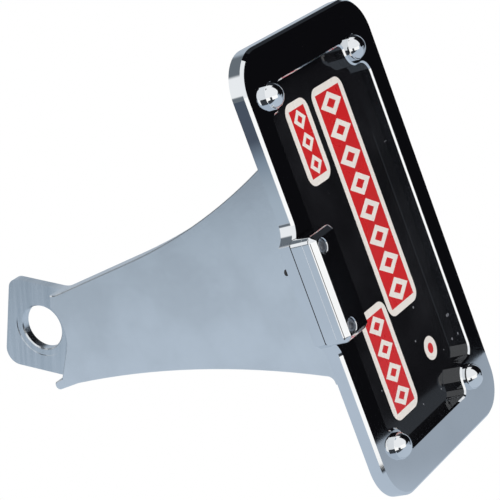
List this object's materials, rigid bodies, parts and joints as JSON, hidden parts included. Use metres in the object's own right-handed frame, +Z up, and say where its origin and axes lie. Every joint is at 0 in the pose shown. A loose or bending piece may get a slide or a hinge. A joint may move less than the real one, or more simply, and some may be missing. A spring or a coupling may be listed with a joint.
{
  "type": "side mount license plate holder",
  "caption": "Side mount plate holder: a flat billet arm with an axle hole carries an upright chromed frame with a black backing plate and a small plate light.",
  "frame": {"origin": "centre of the axle hole, in the middle of the tab's thickness", "axes": "+X is the way the plate faces, +Z runs up the long edge of the plate, and the arm's outer side faces -Y, along the axle"},
  "size_m": [0.1735, 0.111, 0.1857],
  "materials": {
    "arm_chrome": "bright, faintly satin over the milled flats",
    "frame_chrome": "mirror",
    "gloss_black": "gloss",
    "light_chrome": "mirror",
    "clear_lens": "polished",
    "circuit_board": "satin",
    "black_rubber": "matt",
    "fastener_chrome": "mirror",
    "washer_steel": "brushed",
    "screw_steel": "satin",
    "black_steel": "black oxide",
    "led_white": "satin"
  },
  "bodies": {
    "root": {"side_arm": "arm_chrome", "plate_frame": "frame_chrome", "backing_plate": "gloss_black", "light_gasket": "black_rubber", "light_base": "light_chrome", "light_cover": "light_chrome", "light_lens": "clear_lens", "led_board": "circuit_board", "wire_grommet": "black_rubber", "plate_screw_1": "fastener_chrome", "plate_screw_2": "fastener_chrome", "plate_screw_3": "fastener_chrome", "plate_screw_4": "fastener_chrome", "plate_washer_1": "washer_steel", "plate_washer_2": "washer_steel", "plate_washer_3": "washer_steel", "plate_washer_4": "washer_steel", "plate_nut_1": "fastener_chrome", "plate_nut_2": "fastener_chrome", "plate_nut_3": "fastener_chrome", "plate_nut_4": "fastener_chrome", "cover_screw_1": "screw_steel", "cover_screw_2": "screw_steel", "arm_screw_1": "black_steel", "arm_screw_2": "black_steel", "led_1": "led_white", "led_2": "led_white", "led_3": "led_white"}
  },
  "joints": []
}
